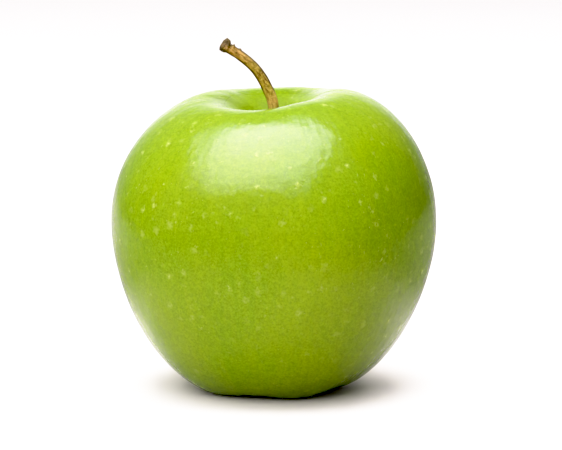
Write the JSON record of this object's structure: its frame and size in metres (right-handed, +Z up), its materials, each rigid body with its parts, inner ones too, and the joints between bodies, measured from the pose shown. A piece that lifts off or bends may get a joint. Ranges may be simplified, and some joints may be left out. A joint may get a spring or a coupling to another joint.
{
  "type": "green apple",
  "caption": "Round green apple with faint lobes, a hollow at each end, a bent brown stem and a dried calyx underneath; it stands on its own foot.",
  "frame": {"origin": "on the surface the apple stands on, under the middle of its bounding box", "axes": "+Z up along the core, towards the stem; -Y is the front; the stem bends towards -X"},
  "size_m": [0.0794, 0.0794, 0.0858],
  "materials": {
    "skin": "waxy apple skin, glossy with a faint orange-peel grain and pale lenticels; gloss plastic stands in for it",
    "stem": "dry, ridged bark with a broken, darker knob at the tip",
    "calyx": "dried, papery sepals; leather stands in for them"
  },
  "bodies": {
    "root": {"fruit": "skin", "stem": "stem", "calyx": "calyx"}
  },
  "joints": []
}
